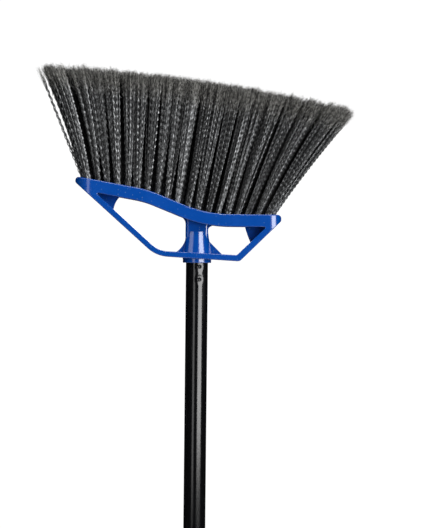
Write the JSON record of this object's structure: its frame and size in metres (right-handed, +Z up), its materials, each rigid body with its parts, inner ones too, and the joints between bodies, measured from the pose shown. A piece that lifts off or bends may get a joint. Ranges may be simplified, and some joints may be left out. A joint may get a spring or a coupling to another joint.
{
  "type": "angle broom",
  "caption": "Angle broom: slanted block of fanned crimped bristles on an open-framed plastic head, screwed to a tube handle.",
  "frame": {"origin": "on the handle's axis in the plane of the head socket's mouth, where the handle's tube ends", "axes": "+Z up the handle's axis towards the bristle tips; +X towards the block's low, short side; +Y to the back"},
  "size_m": [0.3137, 0.0458, 1.4168],
  "materials": {
    "blue_polypropylene": "gloss",
    "crimped_filament": "satin",
    "anchor_wire": "satin",
    "black_coated_steel": "gloss",
    "black_tip_plastic": "satin",
    "washer_nylon": "satin",
    "black_cap_plastic": "satin"
  },
  "bodies": {
    "handle": {"handle_tube": "black_coated_steel", "threaded_tip": "black_tip_plastic", "hang_cap": "black_cap_plastic"},
    "washer": {"socket_washer": "washer_nylon"},
    "head": {"broom_head": "blue_polypropylene", "tuft_column_01": "crimped_filament", "tuft_column_02": "crimped_filament", "tuft_column_03": "crimped_filament", "tuft_column_04": "crimped_filament", "tuft_column_05": "crimped_filament", "tuft_column_06": "crimped_filament", "tuft_column_07": "crimped_filament", "tuft_column_08": "crimped_filament", "tuft_column_09": "crimped_filament", "tuft_column_10": "crimped_filament", "tuft_column_11": "crimped_filament", "tuft_column_12": "crimped_filament", "tuft_column_13": "crimped_filament", "tuft_column_14": "crimped_filament", "tuft_column_15": "crimped_filament", "tuft_column_16": "crimped_filament", "tuft_column_17": "crimped_filament", "tuft_column_18": "crimped_filament", "tuft_column_19": "crimped_filament", "tuft_column_20": "crimped_filament", "tuft_anchors": "anchor_wire"}
  },
  "joints": [
    {"name": "head_travel", "type": "slide", "parent": "handle", "child": "washer", "axis": [0, 0, 1], "range_m": [0, 0.0204]},
    {"name": "head_turn", "type": "hinge", "parent": "washer", "child": "head", "pos_m": [0, 0, 0.0055], "axis": [0, 0, 1], "range_deg": [0, 1440]}
  ],
  "couplings": [
    {"joint": "head_travel", "follows": "head_turn", "m_per_rad": 0.00080851}
  ]
}
